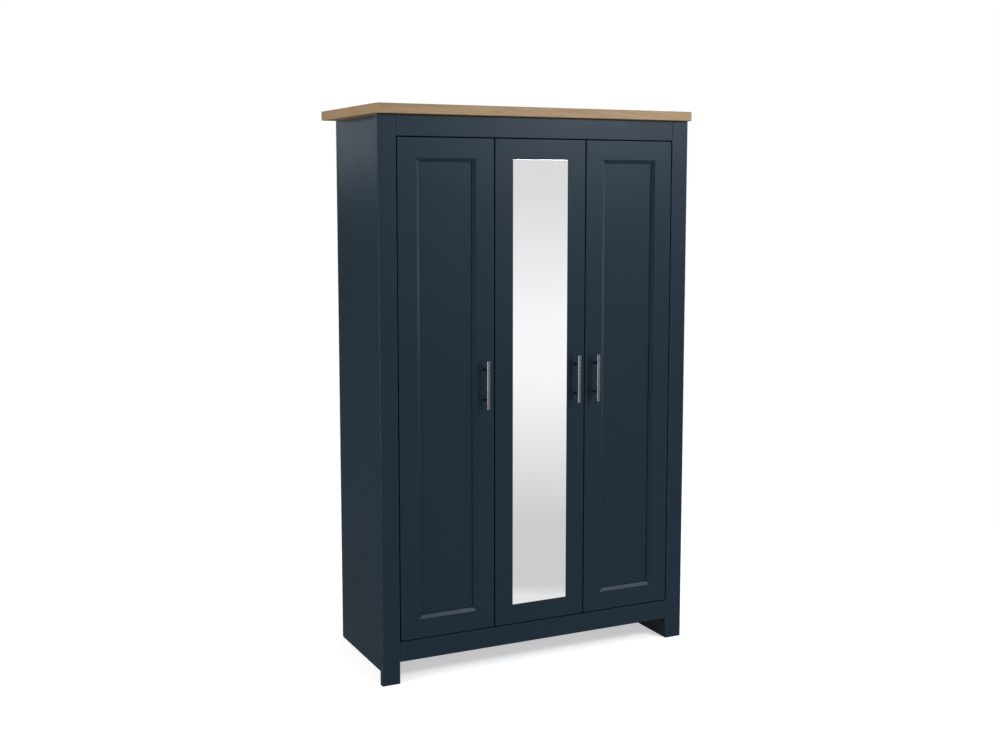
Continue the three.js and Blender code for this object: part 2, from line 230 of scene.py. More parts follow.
def makeFoilSkin():  # fine pebble and slow waviness of a pressed foil on board
    inputs = [("Pebble Scale", skinPattern["pebbleScale"])]
    tree, entry, leave = startGroup("foilSkin", inputs, ["Height", "Cloud", "Smudge"])
    place = putNode(tree, "ShaderNodeTexCoord", -4, 0)
    pebble = putNode(tree, "ShaderNodeTexNoise", -2, 0)
    pebble.inputs["Detail"].default_value = 2.0
    tree.links.new(place.outputs["Object"], pebble.inputs["Vector"])
    tree.links.new(entry.outputs["Pebble Scale"], pebble.inputs["Scale"])
    wave = noiseNode(tree, place.outputs["Object"], -2, 1, skinPattern["waveScale"], 2.0, 0.5)
    fine = mathNode(tree, "MULTIPLY", 0, 0, pebble.outputs["Fac"], skinPattern["pebbleShare"])
    height = mathNode(tree, "ADD", 1, 0, fine, wave)
    cloud = noiseNode(tree, place.outputs["Object"], -2, 2, skinPattern["cloudScale"], 4.0, 0.6)
    long = stretchNode(tree, place.outputs["Object"], -3, 3, skinPattern["smearStretch"])
    smear = noiseNode(tree, long, -2, 3, skinPattern["smearScale"], 6.0, 0.68, 0.6)
    low, high = skinPattern["smear"]
    smudge = spanNode(tree, smear, 0, 3, low, high)
    tree.links.new(height, leave.inputs["Height"])
    tree.links.new(cloud, leave.inputs["Cloud"])
    tree.links.new(smudge, leave.inputs["Smudge"])
    return tree


dustPattern = {"upward": (0.6, 1.0), "speckScale": 160.0, "specks": (0.35, 0.8)}


def makeDust():  # thin dust that settles on faces that look up
    tree, entry, leave = startGroup("dust", [("Amount", 0.5)], ["Mask"])
    surface = putNode(tree, "ShaderNodeNewGeometry", -4, 0)
    parts = putNode(tree, "ShaderNodeSeparateXYZ", -3, 0)
    tree.links.new(surface.outputs["Normal"], parts.inputs[0])
    low, high = dustPattern["upward"]
    upward = spanNode(tree, parts.outputs["Z"], -2, 0, low, high)
    place = putNode(tree, "ShaderNodeTexCoord", -4, 1)
    specks = noiseNode(tree, place.outputs["Object"], -2, 1, dustPattern["speckScale"], 6.0, 0.75)
    low, high = dustPattern["specks"]
    strewn = spanNode(tree, specks, -1, 1, low, high)
    both = mathNode(tree, "MULTIPLY", 1, 0, upward, strewn)
    mask = mathNode(tree, "MULTIPLY", 2, 0, both, entry.outputs["Amount"], clamp=True)
    tree.links.new(mask, leave.inputs["Mask"])
    return tree


oakPattern = {
    "ringStretch": (0.55, 7.0, 7.0),
    "ringScale": 5.0,
    "ringWander": 9.0,
    "driftScale": 1.3,
    "fibreStretch": (6.0, 420.0, 420.0),
    "fibreLift": 0.4,
    "poreStretch": (22.0, 900.0, 900.0),
    "pores": (0.60, 0.72),
}


def makeOakFigure():  # growth rings, fibres and pores along X
    inputs = [("Ring Scale", oakPattern["ringScale"]), ("Pore Depth", 1.0)]
    tree, entry, leave = startGroup("oakFigure", inputs, ["Rings", "Fibre", "Pores", "Height"])
    place = putNode(tree, "ShaderNodeTexCoord", -4, 0)
    long = stretchNode(tree, place.outputs["Object"], -3, 0, oakPattern["ringStretch"])
    drift = noiseNode(tree, long, -2, 0, oakPattern["driftScale"], 3.0, 0.5)
    wave = putNode(tree, "ShaderNodeTexWave", 0, 0, wave_type="BANDS", bands_direction="Y")
    wave.inputs["Distortion"].default_value = oakPattern["ringWander"]
    wave.inputs["Detail"].default_value = 3.0
    wave.inputs["Detail Scale"].default_value = 0.9
    tree.links.new(long, wave.inputs["Vector"])
    tree.links.new(entry.outputs["Ring Scale"], wave.inputs["Scale"])
    strength = spanNode(tree, drift, 0, 1, 0.3, 0.7)
    rings = mathNode(tree, "MULTIPLY", 1, 0, wave.outputs["Fac"], strength)
    threads = stretchNode(tree, place.outputs["Object"], -3, 2, oakPattern["fibreStretch"])
    fibre = noiseNode(tree, threads, -2, 2, 1.0, 3.0, 0.6)
    dashes = stretchNode(tree, place.outputs["Object"], -3, 3, oakPattern["poreStretch"])
    poreNoise = noiseNode(tree, dashes, -2, 3, 1.0, 1.0, 0.5)
    low, high = oakPattern["pores"]
    pores = spanNode(tree, poreNoise, -1, 3, low, high)
    sunk = mathNode(tree, "MULTIPLY", 1, 3, pores, entry.outputs["Pore Depth"])
    lifted = mathNode(tree, "MULTIPLY", 1, 2, fibre, oakPattern["fibreLift"])
    height = mathNode(tree, "SUBTRACT", 2, 2, lifted, sunk)
    for label, value in (("Rings", rings), ("Fibre", fibre), ("Pores", pores), ("Height", height)):
        tree.links.new(value, leave.inputs[label])
    return tree


brushPattern = {"stretch": (1.0, 1.0, 0.02), "fineness": 2600.0, "cloudScale": 45.0}


def makeBrushing():  # short scratches along Z
    inputs = [("Fineness", brushPattern["fineness"])]
    tree, entry, leave = startGroup("brushing", inputs, ["Streaks", "Cloud"])
    place = putNode(tree, "ShaderNodeTexCoord", -4, 0)
    long = stretchNode(tree, place.outputs["Object"], -3, 0, brushPattern["stretch"])
    lines = putNode(tree, "ShaderNodeTexNoise", -2, 0)
    lines.inputs["Detail"].default_value = 3.0
    tree.links.new(long, lines.inputs["Vector"])
    tree.links.new(entry.outputs["Fineness"], lines.inputs["Scale"])
    cloud = noiseNode(tree, place.outputs["Object"], -2, 1, brushPattern["cloudScale"], 4.0, 0.6)
    tree.links.new(lines.outputs["Fac"], leave.inputs["Streaks"])
    tree.links.new(cloud, leave.inputs["Cloud"])
    return tree


edgeWearAndSheen = makeEdgeWearAndSheen()
foilSkin = makeFoilSkin()
dust = makeDust()
oakFigure = makeOakFigure()
brushing = makeBrushing()


def startMaterial(name, plain):
    material = bpy.data.materials.new(name)
    material.use_nodes = True
    material.diffuse_color = (*plain, 1.0)
    tree = material.node_tree
    shader = tree.nodes["Principled BSDF"]
    shader.location = (1200, 0)
    tree.nodes["Material Output"].location = (1500, 0)
    return material, tree, shader


def groupNode(tree, group, column, row, **values):
    node = putNode(tree, "ShaderNodeGroup", column, row, node_tree=group)
    for name, value in values.items():
        node.inputs[name.replace("_", " ")].default_value = value
    return node


def mixColor(tree, factor, first, second, column, row):
    node = putNode(tree, "ShaderNodeMix", column, row, data_type="RGBA")
    if isinstance(factor, (int, float)):
        node.inputs[0].default_value = factor
    else:
        tree.links.new(factor, node.inputs[0])
    for socket, value in ((node.inputs[6], first), (node.inputs[7], second)):
        if isinstance(value, tuple):
            socket.default_value = (*value, 1.0)
        else:
            tree.links.new(value, socket)
    return node.outputs[2]


def bumpNode(tree, shader, height, relief):
    strength, distance = relief
    node = putNode(tree, "ShaderNodeBump", 4, 4)
    node.inputs["Strength"].default_value = strength
    node.inputs["Distance"].default_value = distance
    tree.links.new(height, node.inputs["Height"])
    tree.links.new(node.outputs["Normal"], shader.inputs["Normal"])


foil = {
    "front": {
        "deep": (0.0037, 0.0120, 0.0208),
        "light": (0.0050, 0.0148, 0.0249),
        "rough": (0.36, 0.44),
    },
    # painted light: the side panels' copy of the navy foil is lighter than the front's, standing in for
    # light on the sides
    "side": {
        "deep": (0.0072, 0.0155, 0.0240),
        "light": (0.0090, 0.0190, 0.0294),
        "rough": (0.36, 0.42),
    },
    "inside": {
        "deep": (0.0095, 0.0195, 0.0300),
        "light": (0.0120, 0.0238, 0.0360),
        "rough": (0.50, 0.62),
    },
    # the lighter rubbed arris tone is partly wear and partly a painted highlight where light catches
    # the edges
    "wear": 0.35,
    "wornWidth": 0.0012,
    "postWearAndSheen": 0.80,  # painted highlight on the posts' arrises, stronger and wider than the wear elsewhere
    "postSheenAndWearWidth": 0.0050,
    "gloss": 0.14,  # a soft satin foil gives back little light
    "rubbed": (0.050, 0.075, 0.100),
    "dust": 0.10,
    "dustColor": (0.35, 0.35, 0.34),
    "dustRough": 0.3,
    "relief": (0.22, 0.0004),  # strength and depth of the bump
}


def makeNavyFoil(finish, word, wear, wornWidth):
    look = foil[finish]
    material, tree, shader = startMaterial("navyFoil_" + word, look["light"])
    skin = groupNode(tree, foilSkin, 0, 0)
    wearAndSheenEdge = groupNode(tree, edgeWearAndSheen, 0, 2, Amount=wear, Width=wornWidth)
    powder = groupNode(tree, dust, 0, 3, Amount=foil["dust"])
    base = mixColor(tree, skin.outputs["Cloud"], look["deep"], look["light"], 2, 0)
    # painted highlight and wear: the arrises get the lighter rubbed tone
    worn = mixColor(tree, wearAndSheenEdge.outputs["Mask"], base, foil["rubbed"], 3, 0)
    dusty = mixColor(tree, powder.outputs["Mask"], worn, foil["dustColor"], 4, 0)
    tree.links.new(dusty, shader.inputs["Base Color"])
    low, high = look["rough"]
    gloss = spanNode(tree, skin.outputs["Smudge"], 3, 2, 0.0, 1.0, low, high)
    rougher = mathNode(tree, "MULTIPLY_ADD", 4, 2, powder.outputs["Mask"], foil["dustRough"])
    tree.links.new(gloss, rougher.node.inputs[2])
    tree.links.new(rougher, shader.inputs["Roughness"])
    shader.inputs["Specular IOR Level"].default_value = foil["gloss"]
    bumpNode(tree, shader, skin.outputs["Height"], foil["relief"])
    return material


oak = {
    "pale": (0.278, 0.179, 0.090),
    "dark": (0.171, 0.099, 0.043),
    "pore": (0.085, 0.044, 0.019),
    "rubbed": (0.36, 0.24, 0.13),
    "wear": 0.5,
    "dust": 0.10,
    "threadShade": 0.55,
    "poreShade": 0.6,
    "rough": (0.46, 0.60),
    "gloss": 0.3,
    "relief": (0.35, 0.0003),
}


def makeOak():
    material, tree, shader = startMaterial("oakFoil", oak["pale"])
    figure = groupNode(tree, oakFigure, 0, 0)
    wear = groupNode(tree, edgeWearAndSheen, 0, 2, Amount=oak["wear"])
    powder = groupNode(tree, dust, 0, 3, Amount=oak["dust"])
    ringed = mixColor(tree, figure.outputs["Rings"], oak["pale"], oak["dark"], 1, 0)
    thread = spanNode(tree, figure.outputs["Fibre"], 1, 1, 0.3, 0.7, 0.0, oak["threadShade"])
    threaded = mixColor(tree, thread, ringed, oak["dark"], 2, 0)
    spots = mathNode(tree, "MULTIPLY", 2, 1, figure.outputs["Pores"], oak["poreShade"])
    pored = mixColor(tree, spots, threaded, oak["pore"], 3, 0)
    worn = mixColor(tree, wear.outputs["Mask"], pored, oak["rubbed"], 4, 0)
    dusty = mixColor(tree, powder.outputs["Mask"], worn, foil["dustColor"], 5, 0)
    tree.links.new(dusty, shader.inputs["Base Color"])
    low, high = oak["rough"]
    gloss = spanNode(tree, figure.outputs["Fibre"], 3, 2, 0.3, 0.7, low, high)
    tree.links.new(gloss, shader.inputs["Roughness"])
    shader.inputs["Specular IOR Level"].default_value = oak["gloss"]
    bumpNode(tree, shader, figure.outputs["Height"], oak["relief"])
    return material


fibreBoard = {
    "plain": (0.08, 0.09, 0.105),
    "deep": (0.062, 0.072, 0.088),
    "light": (0.088, 0.098, 0.113),
    "fleck": (0.14, 0.145, 0.15),
    "fleckShade": 0.5,
    "fibreScale": 420.0,
    "cloudScale": 7.0,
    "rough": (0.66, 0.82),
    "relief": (0.3, 0.0003),
}


def makeBoard():
    material, tree, shader = startMaterial("backBoard", fibreBoard["plain"])
    place = putNode(tree, "ShaderNodeTexCoord", -1, 0)
    fibres = noiseNode(tree, place.outputs["Object"], 0, 0, fibreBoard["fibreScale"], 5.0, 0.8)
    clouds = noiseNode(tree, place.outputs["Object"], 0, 1, fibreBoard["cloudScale"], 4.0, 0.6)
    base = mixColor(tree, clouds, fibreBoard["deep"], fibreBoard["light"], 2, 0)
    flecks = spanNode(tree, fibres, 1, 1, 0.55, 0.75, 0.0, fibreBoard["fleckShade"])
    speckled = mixColor(tree, flecks, base, fibreBoard["fleck"], 3, 0)
    tree.links.new(speckled, shader.inputs["Base Color"])
    low, high = fibreBoard["rough"]
    tree.links.new(spanNode(tree, clouds, 2, 2, 0.3, 0.7, low, high), shader.inputs["Roughness"])
    bumpNode(tree, shader, fibres, fibreBoard["relief"])
    return material


mirror = {
    "plain": (0.86, 0.88, 0.89),
    "deep": (0.875, 0.89, 0.895),
    "light": (0.90, 0.912, 0.915),
    "ground": (0.30, 0.38, 0.36),
    "groundRough": 0.55,  # the ground edge is matt
    "film": (0.012, 0.05),
    "filmScale": 11.0,
    "faceTurn": (0.90, 0.99),  # below the first it is arris, above the second it is face
}


def makeMirror():
    material, tree, shader = startMaterial("mirrorSilver", mirror["plain"])
    place = putNode(tree, "ShaderNodeTexCoord", -1, 0)
    clouds = noiseNode(tree, place.outputs["Object"], 0, 0, mirror["filmScale"], 6.0, 0.6)
    parts = putNode(tree, "ShaderNodeSeparateXYZ", 0, 2)
    tree.links.new(place.outputs["Normal"], parts.inputs[0])
    facing = mathNode(tree, "ABSOLUTE", 1, 2, parts.outputs["Y"])
    low, high = mirror["faceTurn"]
    arris = spanNode(tree, facing, 2, 2, low, high, 1.0, 0.0)  # 1 where the glass turns off its face
    tint = mixColor(tree, clouds, mirror["deep"], mirror["light"], 1, 0)
    ground = mixColor(tree, arris, tint, mirror["ground"], 3, 0)
    tree.links.new(ground, shader.inputs["Base Color"])
    shader.inputs["Metallic"].default_value = 1.0
    low, high = mirror["film"]
    film = spanNode(tree, clouds, 1, 1, 0.45, 0.8, low, high)
    matt = mathNode(tree, "MULTIPLY_ADD", 3, 2, arris, mirror["groundRough"])
    tree.links.new(film, matt.node.inputs[2])
    tree.links.new(matt, shader.inputs["Roughness"])
    return material


metals = {
    "nickel": {
        "deep": (0.078, 0.080, 0.086),
        "light": (0.138, 0.142, 0.153),
        "rough": (0.20, 0.30),
        "relief": (0.12, 0.0001),
    },
    "zinc": {
        "deep": (0.42, 0.43, 0.44),
        "light": (0.60, 0.61, 0.62),
        "rough": (0.26, 0.42),
        "relief": (0.08, 0.0001),
    },
    "chrome": {
        "deep": (0.60, 0.61, 0.62),
        "light": (0.70, 0.71, 0.72),
        "rough": (0.09, 0.16),
        "relief": (0.02, 0.0001),
    },
}
metalEdge = {"width": 0.0006, "wear": 0.7, "brighter": 1.35, "streakShade": 0.45}


def makeMetal(finish):
    look = metals[finish]
    material, tree, shader = startMaterial("metal_" + finish, look["light"])
    lines = groupNode(tree, brushing, 0, 0)
    wear = groupNode(tree, edgeWearAndSheen, 0, 2, Width=metalEdge["width"], Amount=metalEdge["wear"])
    base = mixColor(tree, lines.outputs["Cloud"], look["deep"], look["light"], 1, 0)
    streak = spanNode(tree, lines.outputs["Streaks"], 1, 1, 0.35, 0.65, 0.0, metalEdge["streakShade"])
    streaked = mixColor(tree, streak, base, look["light"], 2, 0)
    bright = tuple(min(1.0, value * metalEdge["brighter"]) for value in look["light"])
    worn = mixColor(tree, wear.outputs["Mask"], streaked, bright, 3, 0)
    tree.links.new(worn, shader.inputs["Base Color"])
    shader.inputs["Metallic"].default_value = 1.0
    low, high = look["rough"]
    gloss = spanNode(tree, lines.outputs["Streaks"], 2, 2, 0.3, 0.7, low, high)
    tree.links.new(gloss, shader.inputs["Roughness"])
    bumpNode(tree, shader, lines.outputs["Streaks"], look["relief"])
    return material


plastics = {
    "cap": {"deep": (0.035, 0.047, 0.066), "light": (0.046, 0.060, 0.082), "rough": 0.5},
    "buffer": {"deep": (0.52, 0.53, 0.54), "light": (0.66, 0.67, 0.68), "rough": 0.3},
    "strip": {"deep": (0.045, 0.052, 0.064), "light": (0.062, 0.070, 0.083), "rough": 0.55},
}
plasticSkin = {"pebbles": 2400.0, "polished": 0.06, "handled": 0.1, "relief": (0.15, 0.0002)}


def makePlastic(finish):
    look = plastics[finish]
    material, tree, shader = startMaterial("plastic_" + finish, look["light"])
    skin = groupNode(tree, foilSkin, 0, 0, Pebble_Scale=plasticSkin["pebbles"])
    base = mixColor(tree, skin.outputs["Cloud"], look["deep"], look["light"], 1, 0)
    tree.links.new(base, shader.inputs["Base Color"])
    low = look["rough"] - plasticSkin["polished"]
    high = look["rough"] + plasticSkin["handled"]
    gloss = spanNode(tree, skin.outputs["Smudge"], 1, 1, 0.0, 1.0, low, high)
    tree.links.new(gloss, shader.inputs["Roughness"])
    bumpNode(tree, shader, skin.outputs["Height"], plasticSkin["relief"])
    return material


navyFront = makeNavyFoil("front", "front", foil["wear"], foil["wornWidth"])
# the posts' copy of the front foil carries a wider, stronger painted arris highlight
navyPostArrisSheen = makeNavyFoil("front", "post", foil["postWearAndSheen"], foil["postSheenAndWearWidth"])
# painted light: the side panels use a lighter copy of the same navy foil
navySidePaintedLight = makeNavyFoil("side", "side", foil["wear"], foil["wornWidth"])
navyInside = makeNavyFoil("inside", "inside", foil["wear"], foil["wornWidth"])
oakFoil = makeOak()
boardFace = makeBoard()
mirrorSilver = makeMirror()
nickel = makeMetal("nickel")
zinc = makeMetal("zinc")
chrome = makeMetal("chrome")
capPlastic = makePlastic("cap")
bufferPlastic = makePlastic("buffer")
stripPlastic = makePlastic("strip")
print("materials made")


sharpTurn = 31  # degrees; a turn above this is an edge to round
flatTurn = 1  # degrees; faces that turn less than this are one face
mergeGap = 0.00002
shortEdge = 0.04
softEdges = {
    "slab": 0.0022,
    "post": 0.0022,
    "board": 0.0006,
    "member": 0.0004,
    "glass": 0.0005,
    "steel": 0.00025,
    "thin": 0.0004,
}


def bodyOf(node):
    for body, nodes in frame["record"]["behaviour"]["bodies"].items():
        if node in nodes:
            return body


def copyNode(node):
    source = frame["nodes"][node]
    piece = source.copy()
    piece.data = source.data.copy()
    bpy.context.scene.collection.objects.link(piece)
    piece.name = node + "_shaped"
    piece.parent = None
    pickPiece(piece)
    bpy.ops.object.mode_set(mode="EDIT")
    bpy.ops.mesh.select_all(action="SELECT")
    bpy.ops.mesh.remove_doubles(threshold=mergeGap)
    bpy.ops.mesh.dissolve_limited(angle_limit=math.radians(flatTurn))
    leaveEdit()
    return piece


def standFor(piece, node, material):
    smoothPiece(piece)
    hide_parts(node)
    mount(piece, bodyOf(node), material)


def softenNode(node, edge, material, steps=3):
    piece = copyNode(node)
    finishModifier(piece, "BEVEL", width=edge, segments=steps, limit_method="ANGLE",
                   angle_limit=math.radians(sharpTurn), use_clamp_overlap=True, miter_outer="MITER_ARC")
    standFor(piece, node, material)


def softenMember(node, edge, material):  # the long edges are rounded, the mitred ends stay tight
    piece = copyNode(node)
    bpy.ops.object.mode_set(mode="EDIT")
    bpy.ops.mesh.select_mode(type="EDGE")
    bpy.ops.mesh.select_all(action="DESELECT")
    bpy.ops.mesh.edges_select_sharp(sharpness=math.radians(sharpTurn))
    leaveEdit()
    points = piece.data.vertices
    sharp = [line.vertices for line in piece.data.edges if line.select]
    ends = {tuple(points[index].co) for pair in sharp for index in pair}
    pickEdges(piece, lambda a, b: tuple(a) in ends and tuple(b) in ends and runsAlong(a, b))
    bpy.ops.mesh.bevel(offset=edge, segments=3, profile=0.5, clamp_overlap=True)
    leaveEdit()
    standFor(piece, node, material)


def runsAlong(first, second):
    run = second - first
    straight = abs(run.y) < tiny and min(abs(run.x), abs(run.z)) < tiny
    return straight and run.length > shortEdge


softenNode("top_panel", softEdges["slab"], oakFoil)
for side in ("left", "right"):
    softenNode("front_post_" + side, softEdges["post"], navyPostArrisSheen)
    softenNode("side_panel_" + side, softEdges["board"], navySidePaintedLight)
for rail in ("top_rail", "plinth_rail"):
    softenNode(rail, softEdges["board"], navyFront)
for board in ("base_panel", "partition_panel", "door_stop_batten", "hat_shelf",
              "shelf_left_1", "shelf_left_2", "shelf_left_3"):
    softenNode(board, softEdges["board"], navyInside)
for side in ("left", "right"):
    softenNode("back_panel_" + side, softEdges["thin"], boardFace)
for side in doorSides:
    for member in ("stile_left", "stile_right", "rail_top", "rail_bottom"):
        softenMember(f"door_{side}_{member}", softEdges["member"], navyFront)
    for number in (1, 2, 3):
        softenNode(f"hinge_{side}_cup_{number}", softEdges["steel"], zinc, steps=2)
        softenNode(f"hinge_{side}_arm_{number}", softEdges["steel"], zinc, steps=2)
softenNode("door_left_panel", softEdges["thin"], navyFront)
softenNode("door_right_panel", softEdges["thin"], navyFront)
softenNode("mirror_backing", softEdges["thin"], navyFront)
softenNode("mirror_glass", softEdges["glass"], mirrorSilver)
print("boards, doors and hinges shaped")


pull = {
    "sides": 48,
    "endRound": 0.0014,
    "endSteps": 4,
    "endInset": 0.35,  # of the bar's radius
    "footSides": 32,
    "footEdge": 0.0006,
}


def makePullBar(side):
    node = f"pull_{side}_bar"
    low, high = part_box(node)
    middle = (low + high) / 2
    radius = (high.x - low.x) / 2
    deselectAll()
    bpy.ops.mesh.primitive_cylinder_add(
        vertices=pull["sides"], radius=radius, depth=high.z - low.z, location=middle)
    bar = bpy.context.object
    bar.name = node + "_turned"
    settle(bar)
    ends = (low.z, high.z)
    pickEdges(bar, lambda a, b: abs(a.z - b.z) < tiny and min(abs(a.z - end) for end in ends) < tiny)
    bpy.ops.mesh.bevel(offset=pull["endRound"], segments=pull["endSteps"], profile=0.5)
    leaveEdit()
    pickFaces(bar, lambda face: abs(face.normal.z) > 0.99)
    bpy.ops.mesh.inset(thickness=radius * pull["endInset"])
    leaveEdit()
    smoothPiece(bar)
    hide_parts(node)
    mount(bar, "door_" + side, nickel)


def makePullFoot(side, level):
    node = f"pull_{side}_foot_{level}"
    low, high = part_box(node)
    middle = (low + high) / 2
    radius = (high.x - low.x) / 2
    barMiddle = middleOf(f"pull_{side}_bar").y
    deselectAll()
    bpy.ops.mesh.primitive_cylinder_add(
        vertices=pull["footSides"], radius=radius, depth=high.y - barMiddle,
        location=(middle.x, (high.y + barMiddle) / 2, middle.z), rotation=(math.pi / 2, 0, 0))
    foot = bpy.context.object
    foot.name = node + "_turned"
    settle(foot)
    pickEdges(foot, lambda a, b: abs(a.y - high.y) < tiny and abs(b.y - high.y) < tiny)
    bpy.ops.mesh.bevel(offset=pull["footEdge"], segments=2, profile=0.5)
    leaveEdit()
    smoothPiece(foot)
    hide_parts(node)
    mount(foot, "door_" + side, nickel)


for side in doorSides:
    makePullBar(side)
    for level in ("lower", "upper"):
        makePullFoot(side, level)
print("pulls made")


railFitting = {
    "sides": 64,
    "wall": 0.0012,
    "hollow": 0.03,
    "socketSides": 40,
    "socketRadius": 0.0175,
    "socketDepth": 0.012,
    "socketEdge": 0.0008,
    "socketPlay": 0.0003,
    "plate": 0.0022,
}


def makeHangingRail():
    low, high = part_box("hanging_rail")
    middle = (low + high) / 2
    radius = (high.z - low.z) / 2
    deselectAll()
    bpy.ops.mesh.primitive_cylinder_add(
        vertices=railFitting["sides"], radius=radius, depth=high.x - low.x,
        location=middle, rotation=(0, math.pi / 2, 0))
    rail = bpy.context.object
    rail.name = "hanging_rail_tube"
    settle(rail)
    pickFaces(rail, lambda face: abs(face.normal.x) > 0.99)
    bpy.ops.mesh.inset(thickness=railFitting["wall"])
    leaveEdit()
    for sign in (-1, 1):  # the hollow at each end
        pickFaces(rail, lambda face: face.normal.x * sign > 0.99 and face.area > radius * radius * 2)
        inward = -sign * railFitting["hollow"]
        bpy.ops.mesh.extrude_region_move(TRANSFORM_OT_translate={"value": (inward, 0, 0)})
        leaveEdit()
    smoothPiece(rail)
    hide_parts("hanging_rail")
    mount(rail, "carcass", chrome)


def makeRailSocket(name, faceX, direction):
    middle = middleOf("hanging_rail")
    low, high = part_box("hanging_rail")
    tubeRadius = (high.z - low.z) / 2
    depth = railFitting["socketDepth"]
    deselectAll()
    bpy.ops.mesh.primitive_cylinder_add(
        vertices=railFitting["socketSides"], radius=railFitting["socketRadius"], depth=depth,
        location=(faceX + direction * depth / 2, middle.y, middle.z), rotation=(0, math.pi / 2, 0))
    socket = bpy.context.object
    socket.name = name
    settle(socket)
    pickFaces(socket, lambda face: face.normal.x * direction > 0.99)
    bpy.ops.mesh.inset(thickness=railFitting["socketRadius"] - tubeRadius - railFitting["socketPlay"])
    bpy.ops.mesh.extrude_region_move(
        TRANSFORM_OT_translate={"value": (-direction * (depth - railFitting["plate"]), 0, 0)})
    leaveEdit()
    finishModifier(socket, "BEVEL", width=railFitting["socketEdge"], segments=3, limit_method="ANGLE",
                   angle_limit=math.radians(50))
    smoothPiece(socket)
    mount(socket, "carcass", chrome)


makeHangingRail()
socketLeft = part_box("partition_panel")[1].x + hairGap
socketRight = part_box("side_panel_right")[0].x - hairGap
makeRailSocket("rail_socket_left", socketLeft, 1)
makeRailSocket("rail_socket_right", socketRight, -1)
print("hanging rail made")


screw = {
    "sides": 20,
    "radius": 0.0038,
    "height": 0.0013,
    "crossWidth": 0.0009,
    "crossLength": 0.0042,
    "crossDepth": 0.0008,
}


def makeScrewHead():  # faces +Z with its seat at the origin
    deselectAll()
    bpy.ops.mesh.primitive_cylinder_add(
        vertices=screw["sides"], radius=screw["radius"], depth=screw["height"],
        location=(0, 0, screw["height"] / 2))
    head = bpy.context.object
    head.name = "screw_head_model"
    settle(head)
    pickEdges(head, lambda a, b: min(a.z, b.z) > screw["height"] * 0.9)
    bpy.ops.mesh.bevel(offset=screw["height"] * 0.6, segments=2, profile=0.5)
    leaveEdit()
    bpy.ops.mesh.primitive_cube_add(size=1, location=(0, 0, screw["height"]))
    cross = bpy.context.object
    cross.scale = (screw["crossLength"], screw["crossWidth"], screw["crossDepth"] * 2)
    settle(cross)
    pickFaces(cross, lambda face: abs(face.normal.x) > 0.9)
    bpy.ops.mesh.inset(thickness=screw["crossWidth"] * 0.2)
    leaveEdit()
    finishModifier(head, "BOOLEAN", operation="DIFFERENCE", object=cross, solver="EXACT")
    cross.rotation_euler = (0, 0, math.pi / 2)
    settle(cross)
    finishModifier(head, "BOOLEAN", operation="DIFFERENCE", object=cross, solver="EXACT")
    bpy.data.objects.remove(cross)
    smoothPiece(head, 30)
    return head


def copyTo(model, name, place, turn):
    piece = model.copy()
    piece.data = model.data.copy()
    bpy.context.scene.collection.objects.link(piece)
    piece.name = name
    piece.location = place
    piece.rotation_euler = turn
    settle(piece)
    return piece


facingBack = (-math.pi / 2, 0, 0)  # turns a part's +Z to +Y
screwPlaces = {
    "lift": 0.00005,
    "cupReach": 0.024,  # up and down from the middle of the cup
    "plateThickness": 0.00175,
    "plateSetback": 0.0225,  # forward of the arm's rear end
    "plateReach": 0.0175,
    "armHeight": 0.0075,
    "armSetback": 0.018,
    "armReach": 0.009,
}


def addScrews(screwHead):
    lift = screwPlaces["lift"]
    for side in doorSides:
        intoDoor = 1 if hingeEdge[side] == "left" else -1
        facingInside = (0, intoDoor * math.pi / 2, 0)
        for number in (1, 2, 3):
            cupLow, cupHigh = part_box(f"hinge_{side}_cup_{number}")
            armLow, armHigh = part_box(f"hinge_{side}_arm_{number}")
            cupX = (cupLow.x + cupHigh.x) / 2
            level = (cupLow.z + cupHigh.z) / 2
            armBack = armHigh.y
            wallX = armLow.x if intoDoor > 0 else armHigh.x
            plateX = wallX + intoDoor * screwPlaces["plateThickness"]
            bodyX = plateX + intoDoor * screwPlaces["armHeight"]
            plateY = armBack - screwPlaces["plateSetback"]
            for sign, word in ((-1, "lower"), (1, "upper")):
                ending = f"{side}_{number}_{word}"
                cupSpot = (cupX, cupHigh.y + lift, level + sign * screwPlaces["cupReach"])
                cupScrew = copyTo(screwHead, "cup_screw_" + ending, cupSpot, facingBack)
                mount(cupScrew, "door_" + side, zinc)
                plateSpot = (plateX + intoDoor * lift, plateY, level + sign * screwPlaces["plateReach"])
                plateScrew = copyTo(screwHead, "plate_screw_" + ending, plateSpot, facingInside)
                mount(plateScrew, "carcass", zinc)
                armY = armBack - screwPlaces["armSetback"] - sign * screwPlaces["armReach"]
                armSpot = (bodyX + intoDoor * lift, armY, level)
                armScrew = copyTo(screwHead, "arm_screw_" + ending, armSpot, facingInside)
                mount(armScrew, "carcass", zinc)
        barX = middleOf(f"pull_{side}_bar").x
        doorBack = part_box(f"door_{side}_rail_top")[1].y
        for level in ("lower", "upper"):
            pullSpot = (barX, doorBack + lift, middleOf(f"pull_{side}_foot_{level}").z)
            pullScrew = copyTo(screwHead, f"pull_screw_{side}_{level}", pullSpot, facingBack)
            mount(pullScrew, "door_" + side, zinc)


screwHead = makeScrewHead()
addScrews(screwHead)
bpy.data.objects.remove(screwHead)
print("screws placed")


smallParts = {
    "pinRadius": 0.0025,
    "pinReach": 0.009,
    "collarRadius": 0.0042,
    "collarLength": 0.0012,
    "pinEdge": 0.0003,
    "pinInset": 0.045,
    "capRadius": 0.0065,
    "capHeight": 0.0011,
    "capBehindFront": 0.05,
    "capBeforeBack": 0.06,
    "capFromBoard": 0.034,
    "bufferRadius": 0.005,
    "bufferHeight": 0.0022,
    "bufferFromSide": 0.012,
    "bufferFromEnd": 0.0065,
    "padSides": 28,
}


